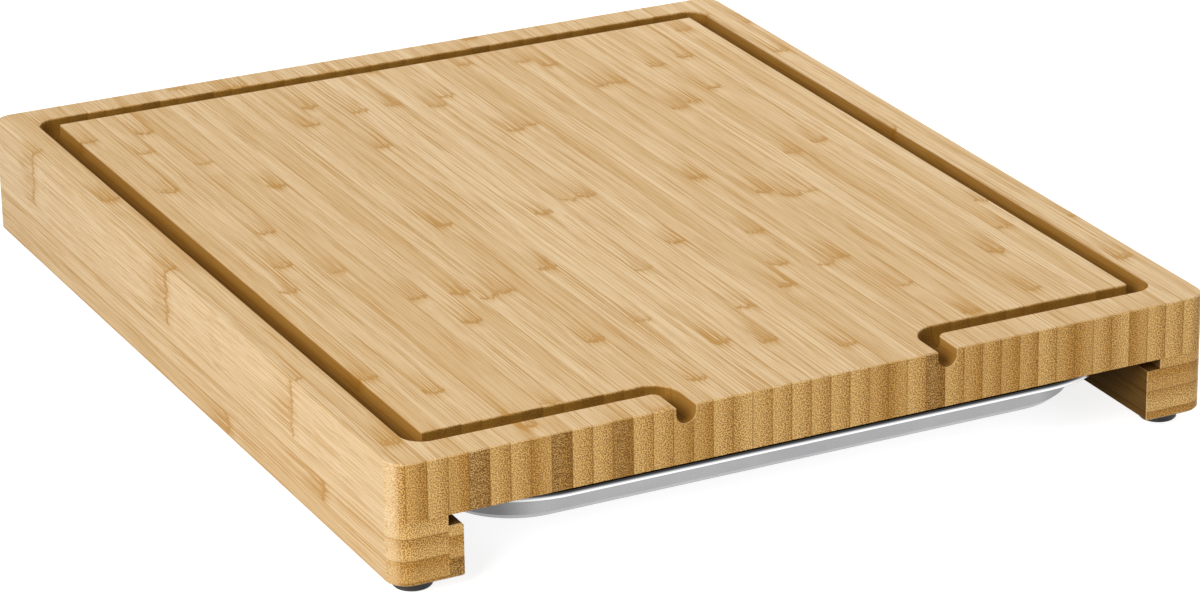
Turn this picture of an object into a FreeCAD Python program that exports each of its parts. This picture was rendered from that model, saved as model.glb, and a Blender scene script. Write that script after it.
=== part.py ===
"""Bamboo cutting board on two slotted rails, with steel drawer trays that slide in the slots.

Units are millimetres. X runs along the front edge, Y from front to back, Z up.
The origin is on the worktop, under the middle of the board.
"""

import FreeCAD
import Part
import math
import os

V = FreeCAD.Vector
UP = V(0, 0, 1)

# Drawer trays: pressed gastronorm pans, hung in the slots by their turned-down rims.
tray_width = 325.0
front_tray_depth = 265.0
rear_tray_depth = 176.0
tray_height = 20.0
tray_sheet = 0.8
tray_corner_radius = 52.0
rim_width = 14.0
rim_lip = 3.2
rim_curl = 0.5
rim_curl_round = 0.7
rim_edge_round = 1.5
rim_neck_round = 2.0
wall_draft_deg = 8.5
floor_round = 9.0
rim_bend_flats = 2
floor_bend_flats = 3

# Room round the trays.
tray_side_gap = 1.6
tray_front_gap = 1.9
tray_middle_gap = 3.0
tray_back_gap = 4.1
tray_ground_gap = 5.8
rim_head_gap = 1.4
slide_gap = 0.1

# Board: a panel of upright bamboo strips glued on two rails of flat strips.
slab_thickness = 24.8
board_corner_radius = 9.5
top_edge_ease = 0.5

# Rails: each has a slot along its inner side, right under the panel.
rail_side_wall = 23.4
slot_depth = 6.4
rail_edge_ease = 0.7
ledge_ease = 0.6

# Juice groove: a round-bottomed channel round the panel, with a spout at each end of its front run.
groove_width = 9.2
groove_depth = 7.7
groove_side_margin = 15.4
groove_front_margin = 17.0
groove_back_margin = 15.0
groove_inner_corner = 0.6
groove_edge_ease = 0.3
spout_spacing = 120.0
spout_island_round = 3.4

# Feet: rubber buttons under the rails, each held by a screw over a washer in its hollow.
foot_height = 6.3
foot_diameter = 16.0
foot_edge_ease = 0.5
foot_web = 2.2
foot_inset_side = 14.2
foot_inset_end = 15.4
fit_gap = 0.1
screw_shank = 3.5
screw_length = 15.0
screw_head_diameter = 6.8
screw_head_height = 1.8
screw_slot_width = 0.9
screw_slot_depth = 0.7
washer_diameter = 8.8
washer_thickness = 0.8

# The board is as wide and as deep as its trays need.
board_width = tray_width + 2 * (tray_side_gap + rail_side_wall)
board_depth = tray_front_gap + front_tray_depth + tray_middle_gap + rear_tray_depth + tray_back_gap
half_width = board_width / 2
half_depth = board_depth / 2
slot_outer_x = half_width - rail_side_wall
bay_half_width = slot_outer_x - slot_depth

# Heights that follow, from the worktop up.
rail_base_z = foot_height
foot_pocket_z = rail_base_z - foot_web
washer_base_z = foot_pocket_z - washer_thickness
screw_tip_z = washer_base_z + screw_length
tray_floor_z = rail_base_z + tray_ground_gap
tray_rim_z = tray_floor_z + tray_height
tray_lip_z = tray_rim_z - rim_lip
ledge_z = tray_lip_z - slide_gap
slab_base_z = tray_rim_z + rim_head_gap
slab_top_z = slab_base_z + slab_thickness

past = 5.0  # how far a cutting tool runs past the face that it cuts


def rounded_block(width, depth, base_z, height, radius):
    """A block centred on the Z axis with its four upright edges rounded."""
    block = Part.makeBox(width, depth, height, V(-width / 2, -depth / 2, base_z))
    upright = [e for e in block.Edges if abs(e.tangentAt(e.FirstParameter).z) > 0.9]
    return block.makeFillet(radius, upright)


def edges_where(shape, test):
    """The edges of a shape whose middle point passes the test."""
    found = []
    for edge in shape.Edges:
        middle = edge.valueAt((edge.FirstParameter + edge.LastParameter) / 2)
        if test(middle):
            found.append(edge)
    return found


def rounded_path(points, radii, flats=None):
    """A wire through points, with a tangent arc of the given radius at each inner point.

    A number in flats turns its arc into that many straight pieces, which sweep into light faces.
    """
    flats = flats or [0] * len(radii)
    edges = []
    start = points[0]
    for before, corner, after, radius, pieces in zip(points, points[1:], points[2:], radii, flats):
        arriving = (corner - before).normalize()
        leaving = (after - corner).normalize()
        turn = arriving.getAngle(leaving)
        trim = radius * math.tan(turn / 2)
        arc_start = corner - arriving * trim
        arc_end = corner + leaving * trim
        inward = (leaving - arriving).normalize()
        centre = corner + inward * (radius / math.cos(turn / 2))
        edges.append(Part.LineSegment(start, arc_start).toShape())
        arc = Part.Arc(arc_start, centre - inward * radius, arc_end).toShape()
        edges += Part.makePolygon(arc.discretize(pieces + 1)).Edges if pieces else [arc]
        start = arc_end
    edges.append(Part.LineSegment(start, points[-1]).toShape())
    return Part.Wire(edges)


def groove_cutter():
    """The solid that the groove and its two spouts remove from the panel."""
    half = groove_width / 2
    side = half_width - groove_side_margin - half
    front = -half_depth + groove_front_margin + half
    back = half_depth - groove_back_margin - half
    spout = spout_spacing / 2
    outside = -half_depth - past
    stops = [
        (-spout, outside),
        (-spout, front),
        (-side, front),
        (-side, back),
        (side, back),
        (side, front),
        (spout, front),
        (spout, outside),
    ]
    spout_turn = half + spout_island_round
    corner_turn = half + groove_inner_corner
    radii = [spout_turn] + [corner_turn] * 4 + [spout_turn]
    floor_z = slab_top_z - groove_depth
    path = rounded_path([V(x, y, floor_z) for x, y in stops], radii)

    x, y = stops[0]
    spring_z = floor_z + half
    left = V(x - half, y, spring_z)
    right = V(x + half, y, spring_z)
    rise = UP * (groove_depth - half + past)
    section = Part.Wire(
        [
            Part.Arc(left, V(x, y, floor_z), right).toShape(),
            Part.LineSegment(right, right + rise).toShape(),
            Part.LineSegment(right + rise, left + rise).toShape(),
            Part.LineSegment(left + rise, left).toShape(),
        ]
    )
    return path.makePipeShell([section], True, False)


def near_outline(point):
    """Whether a point lies by the board's outer edge, seen from above."""
    band = board_corner_radius * 0.35
    return abs(point.x) > half_width - band or abs(point.y) > half_depth - band


def cutting_panel():
    """The panel: one slab of upright strips, with its groove, spouts and eased edges."""
    slab = rounded_block(
        board_width, board_depth, slab_base_z, slab_thickness, board_corner_radius
    )
    slab = slab.cut(groove_cutter())

    def on_top(point):
        return abs(point.z - slab_top_z) < 1e-6

    lips = edges_where(slab, lambda p: on_top(p) and not near_outline(p))
    slab = slab.makeChamfer(groove_edge_ease, lips)
    rim = edges_where(slab, lambda p: on_top(p) and near_outline(p))
    return slab.makeChamfer(top_edge_ease, rim)


def foot_places():
    """Corner name and position of each foot."""
    x = half_width - foot_inset_side
    y = half_depth - foot_inset_end
    return {
        "front_left": (-x, -y),
        "front_right": (x, -y),
        "rear_left": (-x, y),
        "rear_right": (x, y),
    }


def beyond(x, side, base_z):
    """A cutting block over everything on one side (-1 left, 1 right) of x, from base_z up."""
    corner = V(min(x, x + side * board_width), -half_depth - past, base_z)
    return Part.makeBox(board_width, board_depth + 2 * past, slab_top_z, corner)


def rail(side):
    """A rail on the left (side -1) or right (side 1), with its slot and screw holes."""
    body = rounded_block(
        board_width, board_depth, rail_base_z, slab_base_z - rail_base_z, board_corner_radius
    )
    body = body.cut(beyond(side * bay_half_width, -side, rail_base_z - past))
    body = body.cut(beyond(side * slot_outer_x, -side, ledge_z))
    underside = edges_where(body, lambda p: abs(p.z - rail_base_z) < 1e-6)
    body = body.makeChamfer(rail_edge_ease, underside)
    lip = edges_where(
        body,
        lambda p: abs(p.z - ledge_z) < 1e-6 and abs(abs(p.x) - bay_half_width) < 1e-6,
    )
    body = body.makeChamfer(ledge_ease, lip)
    for x, y in foot_places().values():
        if x * side > 0:
            pilot = Part.makeCylinder(
                screw_shank / 2 + fit_gap / 2, screw_tip_z + fit_gap - rail_base_z, V(x, y, rail_base_z)
            )
            body = body.cut(pilot)
    return body


def turned(points, x, y):
    """A solid of revolution about the upright axis at x, y from (radius, height) points."""
    corners = [V(x + radius, y, z) for radius, z in points]
    profile = Part.Face(Part.makePolygon(corners + corners[:1]))
    return profile.revolve(V(x, y, 0), UP, 360)


def rubber_foot(x, y):
    """A rubber button, hollow below, with a web that its screw and washer clamp."""
    outer = foot_diameter / 2
    hole = screw_shank / 2 + fit_gap
    pocket = washer_diameter / 2 + fit_gap
    return turned(
        [
            (pocket, 0),
            (outer - foot_edge_ease, 0),
            (outer, foot_edge_ease),
            (outer, rail_base_z),
            (hole, rail_base_z),
            (hole, foot_pocket_z),
            (pocket, foot_pocket_z),
        ],
        x,
        y,
    )


def foot_washer(x, y):
    base = V(x, y, washer_base_z)
    disc = Part.makeCylinder(washer_diameter / 2, washer_thickness, base)
    return disc.cut(Part.makeCylinder(screw_shank / 2 + fit_gap, washer_thickness, base))


def foot_screw(x, y):
    """A slotted screw: head down in the foot's hollow, shank up into the rail."""
    head = screw_head_diameter / 2
    shank = screw_shank / 2
    head_z = washer_base_z - screw_head_height
    screw = turned(
        [
            (0, head_z),
            (head, head_z),
            (head, washer_base_z),
            (shank, washer_base_z),
            (shank, screw_tip_z),
            (0, screw_tip_z),
        ],
        x,
        y,
    )
    driver_slot = Part.makeBox(
        screw_head_diameter,
        screw_slot_width,
        screw_slot_depth,
        V(x - head, y - screw_slot_width / 2, head_z),
    )
    return screw.cut(driver_slot)


def sheet_profile(points, bends, thickness):
    """The closed section of a bent sheet whose middle line runs through points.

    Points are (inward, height) pairs. Each inner point has a bend: its radius on the middle
    line, and the number of flats that it is folded in.
    """
    flats = [pieces for _, pieces in bends]
    line = [V(inward, 0, height) for inward, height in points]

    def side(shift):
        moved = []
        for index, point in enumerate(line):
            before = line[index] - line[index - 1] if index else line[1] - line[0]
            after = line[index + 1] - point if index + 1 < len(line) else before
            before, after = V(before).normalize(), V(after).normalize()
            normal_before = V(-before.z, 0, before.x)
            normal_after = V(-after.z, 0, after.x)
            bisector = (normal_before + normal_after).normalize()
            moved.append(point + bisector * (shift / bisector.dot(normal_before)))
        radii = []
        for index, (radius, _) in enumerate(bends, start=1):
            before = line[index] - line[index - 1]
            after = line[index + 1] - line[index]
            left_turn = before.x * after.z - before.z * after.x > 0
            radii.append(radius - shift if left_turn else radius + shift)
        return rounded_path(moved, radii, flats)

    near = side(thickness / 2)
    far = side(-thickness / 2)
    caps = [
        Part.LineSegment(near.Vertexes[i].Point, far.Vertexes[i].Point).toShape()
        for i in (0, -1)
    ]
    return Part.Face(Part.Wire(Part.__sortEdges__(near.Edges + far.Edges + caps)))


def drawer_tray(depth, front_y):
    """A pressed pan: drafted walls, round corners, and a flat rim with a lip that curls under."""
    half = tray_sheet / 2
    wall_run = (tray_height - tray_sheet) * math.tan(math.radians(wall_draft_deg))
    curl_z = tray_lip_z + half * math.sin(math.radians(45))  # clears the cut edge of the curl
    section = sheet_profile(
        [
            (half + rim_curl, curl_z),
            (half, curl_z + rim_curl),
            (half, tray_rim_z - half),
            (rim_width, tray_rim_z - half),
            (rim_width + wall_run, tray_floor_z + half),
            (tray_corner_radius, tray_floor_z + half),
        ],
        [
            (rim_curl_round, 1),
            (rim_edge_round, rim_bend_flats),
            (rim_neck_round, rim_bend_flats),
            (floor_round, floor_bend_flats),
        ],
        tray_sheet,
    )
    # The section starts at the rim's outer edge, so each corner turns it about an upright
    # axis one corner radius in, and each side runs it straight between two corners.
    run_x = tray_width - 2 * tray_corner_radius
    run_y = depth - 2 * tray_corner_radius
    centre = V(0, front_y + depth / 2, 0)
    pan = Part.makeBox(
        run_x, run_y, tray_sheet, centre + V(-run_x / 2, -run_y / 2, tray_floor_z)
    )
    for quarter in range(4):
        across, along = (run_x, run_y) if quarter % 2 == 0 else (run_y, run_x)
        start = section.translated(V(-across / 2 - tray_corner_radius, -along / 2, 0))
        wall = start.extrude(V(0, along, 0))
        bend = start.translated(V(0, along, 0))
        corner = bend.revolve(V(-across / 2, along / 2, 0), UP, -90)
        for piece in (wall, corner):
            piece.rotate(V(0, 0, 0), UP, 90 * quarter)
            piece.translate(centre)
            pan = pan.fuse(piece)
    return pan.removeSplitter()


def main():
    front_tray_y = -half_depth + tray_front_gap
    rear_tray_y = front_tray_y + front_tray_depth + tray_middle_gap
    nodes = {
        "cutting_panel": cutting_panel(),
        "left_rail": rail(-1),
        "right_rail": rail(1),
        "front_tray": drawer_tray(front_tray_depth, front_tray_y),
        "rear_tray": drawer_tray(rear_tray_depth, rear_tray_y),
    }
    for corner, (x, y) in foot_places().items():
        nodes["foot_" + corner] = rubber_foot(x, y)
        nodes["foot_washer_" + corner] = foot_washer(x, y)
        nodes["foot_screw_" + corner] = foot_screw(x, y)

    os.makedirs("parts", exist_ok=True)
    for name, shape in nodes.items():
        box = shape.BoundBox
        size = f"{box.XLength:.1f} x {box.YLength:.1f} x {box.ZLength:.1f}"
        print(f"{name}: {len(shape.Solids)} solid, valid {shape.isValid()}, {size} mm")
        shape.exportStep(f"parts/{name}.step")


main()
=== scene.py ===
import math
import bpy
from mathutils import Matrix, Vector


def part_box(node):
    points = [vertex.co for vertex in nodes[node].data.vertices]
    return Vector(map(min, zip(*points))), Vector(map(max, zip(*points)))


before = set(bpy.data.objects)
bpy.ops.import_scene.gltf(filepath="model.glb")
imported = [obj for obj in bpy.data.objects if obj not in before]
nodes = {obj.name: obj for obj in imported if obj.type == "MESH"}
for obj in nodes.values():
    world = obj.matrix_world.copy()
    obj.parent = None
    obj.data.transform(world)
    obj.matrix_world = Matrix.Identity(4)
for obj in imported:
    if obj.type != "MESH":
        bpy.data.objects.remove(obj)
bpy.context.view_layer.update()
mm = 0.001

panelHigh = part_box("cutting_panel")[1]
railLow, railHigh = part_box("left_rail")
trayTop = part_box("front_tray")[1].z
halfWidth = panelHigh.x
halfDepth = panelHigh.y
print("frame loaded:", len(nodes), "nodes")


# shader helpers: a value is a number, a tuple or another node's output

def feed(tree, socket, value):
    if isinstance(value, bpy.types.NodeSocket):
        tree.links.new(value, socket)
    else:
        socket.default_value = value


def addNode(tree, kind, inputs=None, **settings):
    made = tree.nodes.new("ShaderNode" + kind)
    for name, value in settings.items():
        setattr(made, name, value)
    for name, value in (inputs or {}).items():
        feed(tree, made.inputs[name], value)
    return made


def calc(tree, operation, *values, clamp=False):
    made = addNode(tree, "Math", dict(enumerate(values)), operation=operation)
    made.use_clamp = clamp
    return made.outputs[0]


def plus(tree, first, second):
    return calc(tree, "ADD", first, second)


def minus(tree, first, second):
    return calc(tree, "SUBTRACT", first, second)


def times(tree, first, second):
    return calc(tree, "MULTIPLY", first, second)


def timesPlus(tree, value, factor, rest):
    return calc(tree, "MULTIPLY_ADD", value, factor, rest)


def absolute(tree, value):
    return calc(tree, "ABSOLUTE", value)


def larger(tree, first, second):
    return calc(tree, "MAXIMUM", first, second)


def smaller(tree, first, second):
    return calc(tree, "MINIMUM", first, second)


def fade(tree, value, start, end, low=0.0, high=1.0):  # a soft step from low at start to high at end
    made = addNode(tree, "MapRange", {"Value": value, "From Min": start, "From Max": end,
                                      "To Min": low, "To Max": high})
    made.interpolation_type = "SMOOTHSTEP"
    return made.outputs[0]


def mixNumber(tree, factor, first, second):
    return addNode(tree, "Mix", {0: factor, 2: first, 3: second}, data_type="FLOAT").outputs[0]


def mixColour(tree, factor, first, second, blend="MIX"):
    made = addNode(tree, "Mix", {0: factor, 6: first, 7: second}, data_type="RGBA", blend_type=blend)
    return made.outputs[2]


def joined(tree, x, y, z):
    return addNode(tree, "CombineXYZ", {0: x, 1: y, 2: z}).outputs[0]


def split(tree, vector):
    return addNode(tree, "SeparateXYZ", {0: vector}).outputs


def noise(tree, vector, scale=1.0, detail=2.0, roughness=0.5):
    made = addNode(tree, "TexNoise", {"Vector": vector, "Scale": scale, "Detail": detail,
                                      "Roughness": roughness})
    return made.outputs["Fac"]


def chances(tree, dimensions, inputs):  # three random numbers, the same each time for the same inputs
    dice = addNode(tree, "TexWhiteNoise", inputs, noise_dimensions=dimensions)
    return addNode(tree, "SeparateColor", {0: dice.outputs["Color"]}).outputs


def objectPlace(tree):
    return addNode(tree, "TexCoord").outputs["Object"]


def addBump(tree, shader, height, strength, distance):
    bump = addNode(tree, "Bump", {"Height": height, "Strength": strength, "Distance": distance})
    feed(tree, shader.inputs["Normal"], bump.outputs[0])


def linear(red, green, blue):  # a screen colour of 0-255 steps as the linear colour that shaders use
    steps = [value / 255 for value in (red, green, blue)]
    return tuple(s / 12.92 if s <= 0.04045 else ((s + 0.055) / 1.055) ** 2.4 for s in steps) + (1.0,)


def startGroup(name, inputs, outputs):
    tree = bpy.data.node_groups.new(name, "ShaderNodeTree")
    for label, kind in inputs.items():
        tree.interface.new_socket(label, in_out="INPUT", socket_type="NodeSocket" + kind)
    for label, kind in outputs.items():
        tree.interface.new_socket(label, in_out="OUTPUT", socket_type="NodeSocket" + kind)
    return tree, tree.nodes.new("NodeGroupInput").outputs, tree.nodes.new("NodeGroupOutput").inputs


def useGroup(tree, group, inputs):
    made = tree.nodes.new("ShaderNodeGroup")
    made.node_tree = group
    for name, value in inputs.items():
        feed(tree, made.inputs[name], value)
    return made.outputs


def startMaterial(name):
    material = bpy.data.materials.new(name)
    material.use_nodes = True
    tree = material.node_tree
    return material, tree, tree.nodes["Principled BSDF"]


def finishNode(name, material):
    mesh = nodes[name].data
    if mesh.materials:
        mesh.materials[0] = material
    else:
        mesh.materials.append(material)


# bamboo: strips glued side by side, each with fibre bundles that thicken towards its skin side
# four numbers in a tuple are a fade's start, end, low and high, and two are its start and end

stripLook = {
    "flipShare": 0.14,  # of the strips have their skin on the other side
    "glueLine": (0.1 * mm, 0.45 * mm), "dotScale": 1.42, "dotScatter": 0.9, "dotEdge": (0.2, 0.5),
    "swayWidth": 4.0, "depthSpread": 900.0, "alongSpread": 700.0,
}
patternLook = {  # noise turns in a mm across the strip, into it and along it
    "sway": {"turns": (3.7, 0.0, 0.008), "detail": 2.0, "roughness": 0.5},
    "streaks": {"turns": (2.3, 2.3, 0.018), "detail": 3.0, "roughness": 0.65},
    "broad": {"turns": (0.22, 0.15, 0.006), "detail": 1.0, "roughness": 0.5},
    "ripple": {"turns": (0.16, 0.75, 0.01), "detail": 2.0, "roughness": 0.6},
    "ragged": {"turns": (0.9, 0.35, 0.03), "detail": 3.0, "roughness": 0.7},
    "mottle": {"turns": (0.9, 0.9, 0.4), "detail": 3.0, "roughness": 0.65},
}
knotLook = {  # lengths in mm along the strip
    "scatter": 40.0, "ragged": 11.0, "bow": 2.0, "weakest": 0.5,
    "rim": (0.4, 2.0), "rimMottle": (0.32, 0.52, 0.2, 1.0),
    "cloud": (-2.5, 0.0), "cloudMottle": (0.42, 0.62, 0.05, 0.85), "cloudFull": 0.2,
    "reach": 4.0, "reachSpread": 5.0,
    "feathers": (0.42, 0.56), "ahead": (2.0, 30.0, 0.8, 0.0), "behind": (-9.0, -0.5, 0.0, 0.5),
    "paleBehind": 9.0, "pale": (2.0, 9.0, 1.0, 0.0),
}


def stripPattern(tree, name, across, depth, along, shift=0.0):
    look = patternLook[name]
    turns = look["turns"]
    spot = joined(tree, times(tree, across, turns[0]), times(tree, depth, turns[1]),
                  timesPlus(tree, along, turns[2], shift))
    return noise(tree, spot, detail=look["detail"], roughness=look["roughness"])


def knotOffset(tree, given, turn, luck, ragged, place):  # mm along the strip from the nearest knot
    look = knotLook
    offset = times(tree, minus(tree, turn, 0.5), times(tree, given["Knot Spacing"], 1000))
    offset = plus(tree, offset, times(tree, minus(tree, luck[1], 0.5), look["scatter"]))
    offset = timesPlus(tree, minus(tree, ragged, 0.5), look["ragged"], offset)
    aside = minus(tree, times(tree, place, 2), 1)  # from -1 to 1 across the strip, where the mark bows
    return timesPlus(tree, times(tree, aside, aside), -look["bow"], offset)


def knotCore(tree, offset, mottle, luck):  # a dark rim with a mottled cloud ahead of it
    look = knotLook
    reach = timesPlus(tree, luck[2], look["reachSpread"], look["reach"])
    cloud = times(tree, fade(tree, offset, *look["cloud"]),
                  fade(tree, offset, times(tree, reach, look["cloudFull"]), reach, 1.0, 0.0))
    cloud = times(tree, cloud, fade(tree, mottle, *look["cloudMottle"]))
    rim = fade(tree, absolute(tree, offset), *look["rim"], 1.0, 0.0)
    return larger(tree, times(tree, rim, fade(tree, mottle, *look["rimMottle"])), cloud)


def knotTails(tree, offset, streaks):  # feathery lines that run out of the knot both ways
    look = knotLook
    ahead = times(tree, fade(tree, offset, *look["ahead"]), calc(tree, "GREATER_THAN", offset, 0.0))
    behind = times(tree, fade(tree, offset, *look["behind"]), calc(tree, "LESS_THAN", offset, 0.0))
    return times(tree, plus(tree, ahead, behind), fade(tree, streaks, *look["feathers"]))


def bambooStripsGroup():
    look = stripLook
    tree, given, out = startGroup(
        "bambooStrips",
        {"Across": "Float", "Depth": "Float", "Along": "Float", "First Line": "Float", "Pitch": "Float",
         "Knot Spacing": "Float", "Knot Share": "Float", "Knot Shift": "Float", "Seed": "Float"},
        {"Number": "Float", "Tone": "Float", "Skin": "Float", "Line": "Float", "Dots": "Float",
         "Streaks": "Float", "Broad": "Float", "Knot": "Float", "Pale": "Float", "Ripple": "Float"})
    strips = calc(tree, "DIVIDE", minus(tree, given["Across"], given["First Line"]), given["Pitch"])
    number = calc(tree, "FLOOR", strips)
    place = minus(tree, strips, number)
    key = plus(tree, number, given["Seed"])
    chance = chances(tree, "1D", {"W": key})
    flip = calc(tree, "GREATER_THAN", chance[2], 1.0 - look["flipShare"])
    skin = absolute(tree, minus(tree, place, flip))
    edge = times(tree, smaller(tree, place, minus(tree, 1.0, place)), given["Pitch"])
    line = fade(tree, edge, *look["glueLine"], 1.0, 0.0)

    # from here in mm, with each strip cut from another part of the pattern
    across = times(tree, given["Across"], 1000)
    depth = timesPlus(tree, given["Depth"], 1000, times(tree, chance[0], look["depthSpread"]))
    along = timesPlus(tree, given["Along"], 1000, times(tree, chance[1], look["alongSpread"]))
    sway = minus(tree, stripPattern(tree, "sway", number, 0.0, along), 0.5)
    swayed = plus(tree, across, times(tree, sway, look["swayWidth"]))
    cells = addNode(tree, "TexVoronoi", {
        "Vector": joined(tree, swayed, depth, 0.0), "Scale": look["dotScale"],
        "Randomness": look["dotScatter"]}, voronoi_dimensions="2D")
    dots = fade(tree, cells.outputs["Distance"], *look["dotEdge"], 1.0, 0.0)
    streaks = stripPattern(tree, "streaks", swayed, depth, along)
    broad = stripPattern(tree, "broad", swayed, depth, along)
    ripple = stripPattern(tree, "ripple", across, depth, along)

    rows = calc(tree, "DIVIDE", plus(tree, given["Along"], given["Knot Shift"]), given["Knot Spacing"])
    rows = plus(tree, rows, chance[1])
    row = calc(tree, "FLOOR", rows)
    luck = chances(tree, "2D", {"Vector": joined(tree, key, row, 0.0)})
    ragged = stripPattern(tree, "ragged", across, depth, along, row)
    mottle = stripPattern(tree, "mottle", across, depth, along)
    offset = knotOffset(tree, given, minus(tree, rows, row), luck, ragged, place)
    there = calc(tree, "LESS_THAN", luck[0], given["Knot Share"])
    weakest = knotLook["weakest"]
    strength = times(tree, there, timesPlus(tree, luck[1], 1.0 - weakest, weakest))
    marks = larger(tree, knotCore(tree, offset, mottle, luck), knotTails(tree, offset, streaks))
    fromPale = absolute(tree, plus(tree, offset, knotLook["paleBehind"]))
    pale = times(tree, there, fade(tree, fromPale, *knotLook["pale"]))

    for name, value in {"Number": number, "Tone": chance[0], "Skin": skin, "Line": line, "Dots": dots,
                        "Streaks": streaks, "Broad": broad, "Knot": times(tree, strength, marks),
                        "Pale": pale, "Ripple": ripple}.items():
        feed(tree, out[name], value)
    return tree


bambooColours = {
    "Light": linear(231, 202, 158), "Mid": linear(213, 177, 124), "Streak": linear(188, 140, 72),
    "Knot Tint": linear(186, 136, 58), "End Light": linear(230, 186, 116), "End Mid": linear(196, 146, 74),
    "End Dots": linear(118, 76, 24), "End Core": linear(80, 50, 14),
}
tintLook = {
    "tone": 0.42, "broad": 0.65, "body": (0.15, 0.95), "pale": 0.35, "knot": 1.7,
    "grain": (0.49, 0.59), "grainSkin": (0.0, 1.0, 0.55, 0.9), "dotsSkin": (0.2, 1.0, 0.1, 0.4),
    "line": (0.35, 0.6, 0.15, 0.75),
    "endTone": (0.1, 0.9, 0.0, 0.55), "endSkin": (0.3, 1.05, 0.0, 0.65), "endDots": (0.0, 1.0, 0.65, 0.95),
    "ripple": (0.0, 0.05, 0.85, 0.3), "core": 0.6, "endLine": 0.45, "endKnot": 0.2, "endFace": (0.55, 0.9),
    "rough": 0.46, "roughGrain": 0.6, "endRough": 0.12, "knotPolish": 0.06, "milledRough": 0.95,
    "raisedStreaks": 0.5, "sunkenGrain": 0.4, "raisedDots": 0.9, "sunkenLine": 0.5,
    "specular": 0.2, "bump": 0.35, "bumpDepth": 0.3 * mm,
}
stripMasks = ("Tone", "Skin", "Line", "Dots", "Streaks", "Broad", "Knot", "Pale", "Ripple")


def grainMask(tree, given):
    look = tintLook
    skin = given["Skin"]
    grain = times(tree, fade(tree, given["Streaks"], *look["grain"]), fade(tree, skin, *look["grainSkin"]))
    return larger(tree, grain, times(tree, given["Dots"], fade(tree, skin, *look["dotsSkin"])))


def longColour(tree, given, grain):
    look = tintLook
    body = plus(tree, times(tree, given["Tone"], look["tone"]), times(tree, given["Broad"], look["broad"]))
    colour = mixColour(tree, fade(tree, body, *look["body"]), given["Light"], given["Mid"])
    colour = mixColour(tree, times(tree, given["Pale"], look["pale"]), colour, given["Light"])
    colour = mixColour(tree, grain, colour, given["Streak"])
    line = times(tree, given["Line"], fade(tree, given["Broad"], *look["line"]))
    colour = mixColour(tree, line, colour, given["Streak"])
    knot = calc(tree, "MULTIPLY", given["Knot"], look["knot"], clamp=True)
    return mixColour(tree, knot, colour, given["Knot Tint"])


def endColour(tree, given):
    look = tintLook
    body = plus(tree, fade(tree, given["Tone"], *look["endTone"]),
                fade(tree, given["Skin"], *look["endSkin"]))
    colour = mixColour(tree, smaller(tree, body, 1.0), given["End Light"], given["End Mid"])
    ripples = fade(tree, absolute(tree, minus(tree, given["Ripple"], 0.5)), *look["ripple"])
    colour = mixColour(tree, times(tree, given["Dark"], ripples), colour, given["End Dots"])
    dots = times(tree, given["Dots"], fade(tree, given["Skin"], *look["endDots"]))
    colour = mixColour(tree, dots, colour, given["End Dots"])
    core = times(tree, times(tree, given["Dark"], given["Dots"]), look["core"])
    colour = mixColour(tree, core, colour, given["End Core"])
    colour = mixColour(tree, times(tree, given["Line"], look["endLine"]), colour, given["End Dots"])
    return mixColour(tree, times(tree, given["Knot"], look["endKnot"]), colour, given["Knot Tint"])


def woodTintGroup():  # the strips' masks as a colour, a roughness and a height, on long faces and on ends
    look = tintLook
    inputs = {name: "Color" for name in bambooColours}
    inputs.update({name: "Float" for name in stripMasks + ("Dark", "End")})
    tree, given, out = startGroup(
        "woodTint", inputs, {"Color": "Color", "Roughness": "Float", "Height": "Float"})
    grain = grainMask(tree, given)
    colour = mixColour(tree, given["End"], longColour(tree, given, grain), endColour(tree, given))
    rough = plus(tree, mixNumber(tree, grain, look["rough"], look["roughGrain"]),
                 times(tree, given["End"], look["endRough"]))
    long = minus(tree, times(tree, given["Streaks"], look["raisedStreaks"]),
                 times(tree, grain, look["sunkenGrain"]))
    height = mixNumber(tree, given["End"], long, times(tree, given["Dots"], look["raisedDots"]))
    feed(tree, out["Color"], colour)
    feed(tree, out["Roughness"], timesPlus(tree, given["Knot"], -look["knotPolish"], rough))
    feed(tree, out["Height"], minus(tree, height, times(tree, given["Line"], look["sunkenLine"])))
    return tree


bambooStrips = bambooStripsGroup()
woodTint = woodTintGroup()


def endMask(tree):  # where a face cuts across the fibres
    normal = split(tree, addNode(tree, "NewGeometry").outputs["True Normal"])
    return fade(tree, absolute(tree, normal[1]), *tintLook["endFace"])


def tintWood(tree, shader, masks, dark, shadeMilled):  # shadeMilled paints shade into milled faces and gives their mask
    look = tintLook
    inputs = dict(bambooColours)
    inputs.update({name: masks[name] for name in stripMasks})
    inputs.update({"Dark": dark, "End": endMask(tree)})
    tinted = useGroup(tree, woodTint, inputs)
    colour, milled = shadeMilled(tree, tinted["Color"])
    rough = mixNumber(tree, milled, tinted["Roughness"], look["milledRough"])
    feed(tree, shader.inputs["Base Color"], colour)
    feed(tree, shader.inputs["Roughness"], rough)
    addBump(tree, shader, tinted["Height"], look["bump"], look["bumpDepth"])
    shader.inputs["Specular IOR Level"].default_value = look["specular"]


panelLook = {
    "firstLine": 6.0 * mm, "stripWidth": 8.9 * mm, "seed": 172486.0,
    "knotSpacing": 150 * mm, "knotShare": 0.65, "knotShift": 38 * mm,
    "darkStrips": (3, 7, 10, 26),  # counted from the left
    "cornerRadius": 9.5 * mm, "grooveDepth": 7.7 * mm, "grooveSpare": 1.0 * mm, "grooveEven": 0.45,
    "grooveInside": (0.3 * mm, 0.9 * mm), "grooveDown": (0.2 * mm, 1.2 * mm), "grooveDeep": 2.0 * mm,
    "grooveWallShade": (0.50, 0.39, 0.18, 1.0),  # these three paint shade into the groove by multiplying the wood's colour, the last one deep down
    "grooveEndShade": (0.37, 0.30, 0.14, 1.0),
    "grooveDeepShade": (0.36, 0.26, 0.10, 1.0),
}


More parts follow.
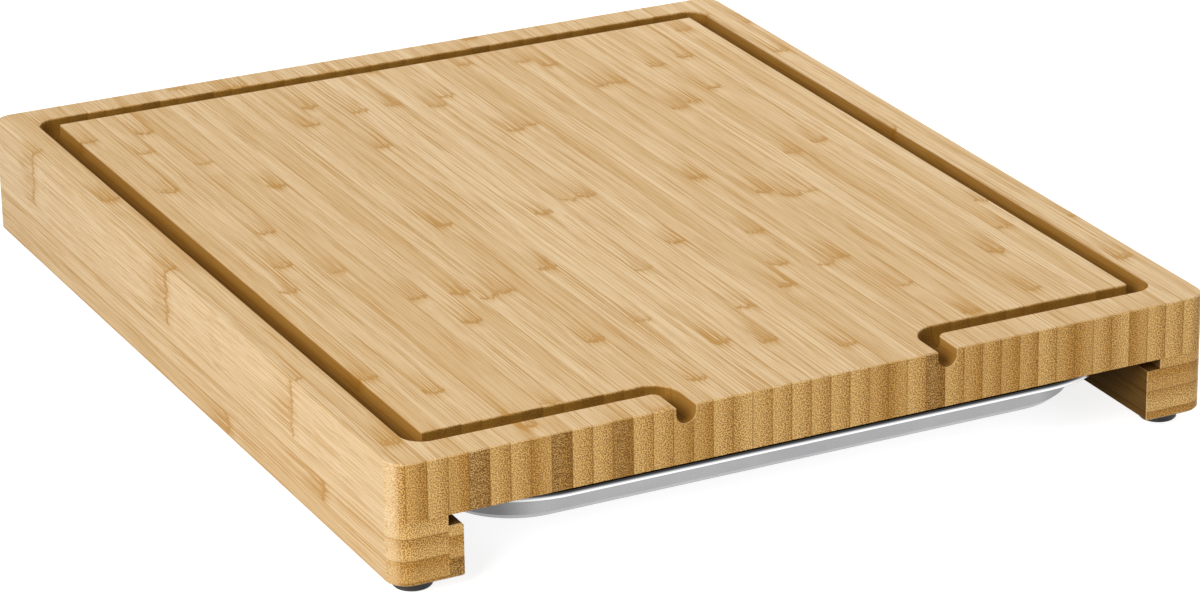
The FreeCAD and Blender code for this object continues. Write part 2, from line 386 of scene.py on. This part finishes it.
def insideOutline(tree, x, y):  # how far a point lies in from the panel's rounded outline
    radius = panelLook["cornerRadius"]
    sideX = minus(tree, absolute(tree, x), halfWidth - radius)
    sideY = minus(tree, absolute(tree, y), halfDepth - radius)
    outX = larger(tree, sideX, 0.0)
    outY = larger(tree, sideY, 0.0)
    corner = calc(tree, "SQRT", plus(tree, times(tree, outX, outX), times(tree, outY, outY)))
    flat = smaller(tree, larger(tree, sideX, sideY), 0.0)
    return minus(tree, radius, plus(tree, corner, flat))


def panelMaterial():
    look = panelLook
    material, tree, shader = startMaterial("bambooPanel")
    x, y, z = split(tree, objectPlace(tree))
    masks = useGroup(tree, bambooStrips, {
        "Across": x, "Depth": z, "Along": y, "First Line": look["firstLine"] - halfWidth,
        "Pitch": look["stripWidth"], "Knot Spacing": look["knotSpacing"],
        "Knot Share": look["knotShare"], "Knot Shift": look["knotShift"], "Seed": look["seed"]})

    def shadeGroove(tree, colour):  # painted shade: the groove's grain is evened and its colour darkened as shade, in from the outline, below the top and above the groove's bottom, darkest deep down
        down = minus(tree, panelHigh.z, z)
        mask = times(tree, fade(tree, insideOutline(tree, x, y), *look["grooveInside"]),
                     fade(tree, down, *look["grooveDown"]))
        mask = times(tree, mask, calc(tree, "LESS_THAN", down, look["grooveDepth"] + look["grooveSpare"]))
        deep = fade(tree, down, look["grooveDeep"], look["grooveDepth"])
        wall = mixColour(tree, endMask(tree), look["grooveWallShade"], look["grooveEndShade"])
        grooveShade = mixColour(tree, deep, wall, look["grooveDeepShade"])
        even = mixColour(tree, look["grooveEven"], colour, bambooColours["End Light"])
        shadedGroove = mixColour(tree, 1.0, even, grooveShade, blend="MULTIPLY")
        return mixColour(tree, mask, colour, shadedGroove), mask

    dark = 0.0
    for strip in look["darkStrips"]:
        dark = larger(tree, dark, calc(tree, "COMPARE", masks["Number"], strip, 0.5))
    tintWood(tree, shader, masks, dark, shadeGroove)
    return material


railLook = {
    "layerHeight": 9.4 * mm, "outerLine": 7.6 * mm, "innerLine": 14.6 * mm, "rightLine": 10.2 * mm,
    "innerColumn": 6.4 * mm, "darkBlock": 8.3 * mm, "seed": 36628.0, "rightSeed": 13.0, "innerSeed": 7.0,
    "knotSpacing": 190 * mm, "knotShare": 0.6, "knotShift": 17 * mm,
    # the dark slot colour is painted shade, multiplied into the slot and the inner face
    "slotEdge": halfWidth - 23.4 * mm, "ledge": 28.8 * mm, "slotShade": (0.18, 0.135, 0.06, 1.0),
    "sideFade": (0.2 * mm, 0.6 * mm), "ledgeFade": 0.4 * mm, "endFade": (1.0 * mm, 0.2 * mm),
}


def railMaterial():
    look = railLook
    material, tree, shader = startMaterial("bambooRail")
    x, y, z = split(tree, objectPlace(tree))
    inner = calc(tree, "GREATER_THAN", x, railHigh.x - look["innerColumn"])  # the left rail's inner column
    right = calc(tree, "GREATER_THAN", x, 0.0)
    leftLine = mixNumber(tree, inner, look["outerLine"], look["innerLine"])
    seed = timesPlus(tree, right, look["rightSeed"], times(tree, inner, look["innerSeed"]))
    masks = useGroup(tree, bambooStrips, {
        "Across": z, "Depth": x, "Along": y, "Pitch": look["layerHeight"],
        "First Line": mixNumber(tree, right, leftLine, look["rightLine"]),
        "Knot Spacing": look["knotSpacing"], "Knot Share": look["knotShare"],
        "Knot Shift": look["knotShift"], "Seed": plus(tree, look["seed"], seed)})
    lowest = calc(tree, "LESS_THAN", z, railLow.z + look["darkBlock"])
    dark = times(tree, times(tree, inner, minus(tree, 1.0, right)), lowest)

    def shadeSlot(tree, colour):  # painted shade in the slot and on the rail's inner face, fading out at the ends
        width = absolute(tree, x)
        near, far = look["sideFade"]
        edge = look["slotEdge"]
        bay = edge - look["innerColumn"]
        slot = times(tree, fade(tree, width, edge + near, edge + far, 1.0, 0.0),
                     fade(tree, z, look["ledge"] - look["ledgeFade"], look["ledge"]))
        face = fade(tree, width, bay + near, bay + far, 1.0, 0.0)
        start, end = look["endFade"]
        away = fade(tree, absolute(tree, y), halfDepth - start, halfDepth - end, 1.0, 0.0)
        inside = times(tree, larger(tree, slot, face), away)
        shaded = mixColour(tree, 1.0, colour, look["slotShade"], blend="MULTIPLY")
        return mixColour(tree, inside, colour, shaded), inside

    tintWood(tree, shader, masks, dark, shadeSlot)
    return material


finishNode("cutting_panel", panelMaterial())
bambooRail = railMaterial()
finishNode("left_rail", bambooRail)
finishNode("right_rail", bambooRail)
print("bamboo done")


# steel: satin sheet, rolled along the tray's width

brushLook = {"rolled": (0.02, 1.0, 1.0), "lineDetail": 4.0, "lineRoughness": 0.7, "cloudScale": 22.0,
             "cloudDetail": 3.0}


def brushedGroup():
    look = brushLook
    tree, given, out = startGroup(
        "brushedSteel", {"Vector": "Vector", "Fineness": "Float"}, {"Lines": "Float", "Clouds": "Float"})
    fine = addNode(tree, "VectorMath", {0: given["Vector"], "Scale": given["Fineness"]}, operation="SCALE")
    rolled = addNode(tree, "Mapping", {"Vector": fine.outputs[0], "Scale": look["rolled"]})
    lines = noise(tree, rolled.outputs[0], detail=look["lineDetail"], roughness=look["lineRoughness"])
    feed(tree, out["Lines"], lines)
    feed(tree, out["Clouds"], noise(tree, given["Vector"], look["cloudScale"], look["cloudDetail"]))
    return tree


brushedSteel = brushedGroup()
trayLook = {
    "colour": (0.40, 0.40, 0.405, 1.0), "shade": (0.34, 0.34, 0.35, 1.0), "clouds": (0.3, 0.7),
    "satin": 0.20, "dull": 0.30, "cloudDull": 0.05, "fineness": 2500.0, "bump": 0.12, "bumpDepth": 0.1 * mm,
    # the rim's lighter steel is a painted highlight, and the near-black colour with the numbers after it
    # paints a dark reflection on the rim's roll and under its curl
    "rim": (0.88, 0.88, 0.885, 1.0), "polish": 0.12, "rimHeight": 4.0 * mm, "rimFade": 0.6 * mm,
    "paintedDark": (0.05, 0.05, 0.052, 1.0), "foldHeight": (2.1 * mm, 1.0 * mm),  # down from the rim's top
    "foldSteep": (0.2, 0.35), "foldLevel": (0.94, 0.995), "foldUnder": (-0.65, -0.45),
    # across paints shade on the steel's faces turned sideways
    "across": (0.08, 0.6, 0.0, 0.6),
}


def trayMaterial():
    look = trayLook
    material, tree, shader = startMaterial("traySteel")
    place = objectPlace(tree)
    height = split(tree, place)[2]
    sideways, _, facing = split(tree, addNode(tree, "NewGeometry").outputs["Normal"])
    masks = useGroup(tree, brushedSteel, {"Vector": place, "Fineness": look["fineness"]})
    colour = mixColour(tree, fade(tree, masks["Clouds"], *look["clouds"]), look["colour"], look["shade"])

    # painted highlight and reflection: the rim is painted lighter than the wall, and painted dark on its
    # upper roll and on the curl under the lip, as the reflection of the board's shaded underside and the
    # shaded floor
    rimBase = trayTop - look["rimHeight"]
    rim = fade(tree, height, rimBase, rimBase + look["rimFade"])
    paintedDark = times(tree, fade(tree, facing, *look["foldSteep"]),
                 fade(tree, facing, *look["foldLevel"], 1.0, 0.0))
    low, high = look["foldHeight"]
    paintedDark = times(tree, paintedDark, fade(tree, height, trayTop - low, trayTop - high))
    paintedDark = larger(tree, paintedDark, fade(tree, facing, *look["foldUnder"], 1.0, 0.0))
    colour = mixColour(tree, rim, colour, mixColour(tree, paintedDark, look["rim"], look["paintedDark"]))
    across = fade(tree, absolute(tree, sideways), *look["across"])  # painted shade: faces turned sideways are darkened towards the near-black colour
    feed(tree, shader.inputs["Base Color"], mixColour(tree, across, colour, look["paintedDark"]))
    shader.inputs["Metallic"].default_value = 1.0
    rough = mixNumber(tree, masks["Lines"], look["satin"], look["dull"])
    rough = timesPlus(tree, masks["Clouds"], look["cloudDull"], rough)
    feed(tree, shader.inputs["Roughness"], mixNumber(tree, rim, rough, look["polish"]))
    addBump(tree, shader, masks["Lines"], look["bump"], look["bumpDepth"])
    return material


traySteel = trayMaterial()
finishNode("front_tray", traySteel)
finishNode("rear_tray", traySteel)
print("trays done")


footLook = {
    "rubber": (0.022, 0.022, 0.024, 1.0), "roughness": 0.52, "speckRough": 0.2, "speckScale": 900.0,
    "dust": (0.06, 0.058, 0.055, 1.0), "dustScale": 120.0, "dusty": (0.4, 0.75),
    "dustHeight": (0.0, 3.0 * mm, 1.0, 0.2), "bump": 0.25, "bumpDepth": 0.1 * mm,
}


def footMaterial():
    look = footLook
    material, tree, shader = startMaterial("footRubber")
    place = objectPlace(tree)
    height = split(tree, place)[2]
    speck = noise(tree, place, look["speckScale"], detail=4.0)
    patches = fade(tree, noise(tree, place, look["dustScale"]), *look["dusty"])
    dusty = times(tree, patches, fade(tree, height, *look["dustHeight"]))
    feed(tree, shader.inputs["Base Color"], mixColour(tree, dusty, look["rubber"], look["dust"]))
    feed(tree, shader.inputs["Roughness"], timesPlus(tree, speck, look["speckRough"], look["roughness"]))
    addBump(tree, shader, speck, look["bump"], look["bumpDepth"])
    return material


screwLook = {
    "zinc": (0.56, 0.56, 0.57, 1.0), "roughness": 0.32, "lineRough": 0.15, "fineness": 5000.0,
    "tarnish": (0.36, 0.35, 0.34, 1.0), "tarnishScale": 400.0, "tarnished": (0.45, 0.75),
    "bump": 0.1, "bumpDepth": 0.1 * mm,
}


def screwMaterial():
    look = screwLook
    material, tree, shader = startMaterial("fastenerSteel")
    place = objectPlace(tree)
    masks = useGroup(tree, brushedSteel, {"Vector": place, "Fineness": look["fineness"]})
    tarnished = fade(tree, noise(tree, place, look["tarnishScale"], detail=3.0), *look["tarnished"])
    rough = timesPlus(tree, masks["Lines"], look["lineRough"], look["roughness"])
    feed(tree, shader.inputs["Base Color"], mixColour(tree, tarnished, look["zinc"], look["tarnish"]))
    feed(tree, shader.inputs["Roughness"], rough)
    shader.inputs["Metallic"].default_value = 1.0
    addBump(tree, shader, masks["Lines"], look["bump"], look["bumpDepth"])
    return material


footRubber = footMaterial()
fastenerSteel = screwMaterial()
for name in nodes:
    if name.startswith(("foot_screw", "foot_washer")):
        finishNode(name, fastenerSteel)
    elif name.startswith("foot_"):
        finishNode(name, footRubber)
print("feet and screws done")


# studio: pale floor, soft lamps and a pale world

white = (1.0, 1.0, 1.0, 1.0)
studioLook = {
    "floorSize": 8.0, "floor": (0.48, 0.48, 0.48, 1.0), "floorRough": 0.9, "floorSpecular": 0.1,
    "floorGlow": 0.82, "worldLight": (0.78, 0.79, 0.80, 1.0), "worldStrength": 0.38, "worldMirrored": 1.2,
}
lampLook = {
    "key": {"place": (-1.62, -1.06, 1.06), "aim": (0, 0, 0.03), "size": 1.1, "power": 41.0,
            "colour": (1.0, 0.99, 0.97)},
    "top": {"place": (0.8, 0.8, 0.9), "aim": (0.05, 0.05, 0.03), "size": 0.9, "power": 9.6,
            "colour": (1.0, 1.0, 1.0)},
    "fill": {"place": (1.5, -1.25, 0.5), "aim": (0, 0, 0.03), "size": 0.9, "power": 9.5,
             "colour": (1.0, 1.0, 1.0)},
}


def aimed(look, roll=0.0):  # the place of a lamp or camera, turned towards its aim
    spot = Vector(look["place"])
    turn = (Vector(look["aim"]) - spot).to_track_quat("-Z", "Y").to_matrix().to_4x4()
    return Matrix.Translation(spot) @ turn @ Matrix.Rotation(roll, 4, "Z")


def addHolder(name, data, matrix):
    holder = bpy.data.objects.new(name, data)
    bpy.context.scene.collection.objects.link(holder)
    holder.matrix_world = matrix
    return holder


def buildFloor():
    look = studioLook
    bpy.ops.mesh.primitive_plane_add(size=look["floorSize"])
    floor = bpy.context.object
    floor.name = "floor"
    material, tree, shader = startMaterial("paleFloor")
    shader.inputs["Base Color"].default_value = look["floor"]
    shader.inputs["Roughness"].default_value = look["floorRough"]
    shader.inputs["Specular IOR Level"].default_value = look["floorSpecular"]
    shader.inputs["Emission Color"].default_value = white
    path = addNode(tree, "LightPath").outputs  # it glows for the camera, in mirrors and through glass only
    seen = larger(tree, path["Is Camera Ray"], path["Is Glossy Ray"])
    seen = larger(tree, seen, path["Is Transmission Ray"])
    feed(tree, shader.inputs["Emission Strength"], times(tree, seen, look["floorGlow"]))
    floor.data.materials.append(material)


def buildWorld():
    look = studioLook
    world = bpy.data.worlds.new("paleWorld")
    bpy.context.scene.world = world
    world.use_nodes = True
    tree = world.node_tree
    background = tree.nodes["Background"]
    path = addNode(tree, "LightPath").outputs
    strength = mixNumber(tree, path["Is Glossy Ray"], look["worldStrength"], look["worldMirrored"])
    seen = larger(tree, path["Is Camera Ray"], path["Is Transmission Ray"])
    feed(tree, background.inputs["Color"], mixColour(tree, seen, look["worldLight"], white))
    feed(tree, background.inputs["Strength"], mixNumber(tree, seen, strength, 1.0))


def buildLamps():
    for name, look in lampLook.items():
        data = bpy.data.lights.new(name, "AREA")
        data.size = look["size"]
        data.energy = look["power"]
        data.color = look["colour"]
        holder = addHolder(name, data, aimed(look))
        holder.visible_glossy = False  # steel mirrors the pale world, and no lamp burns out in it


cameraLook = {
    "place": (-0.8411, -1.7386, 0.7939), "aim": (0.0643, -0.1383, 0.0583), "rollDegrees": 0.42,
    "lens": 140.53, "sensorWidth": 36.0, "shiftX": -0.2108, "shiftY": -0.0149, "clipEnd": 50.0,
}


def buildCamera():
    look = cameraLook
    data = bpy.data.cameras.new("camera")
    data.sensor_width = look["sensorWidth"]
    data.lens = look["lens"]
    data.shift_x = look["shiftX"]
    data.shift_y = look["shiftY"]
    data.clip_end = look["clipEnd"]
    turned = aimed(look, math.radians(look["rollDegrees"]))
    bpy.context.scene.camera = addHolder("camera", data, turned)


buildFloor()
buildWorld()
buildLamps()
buildCamera()
bpy.context.scene.view_settings.view_transform = "Standard"
print("studio and camera done")
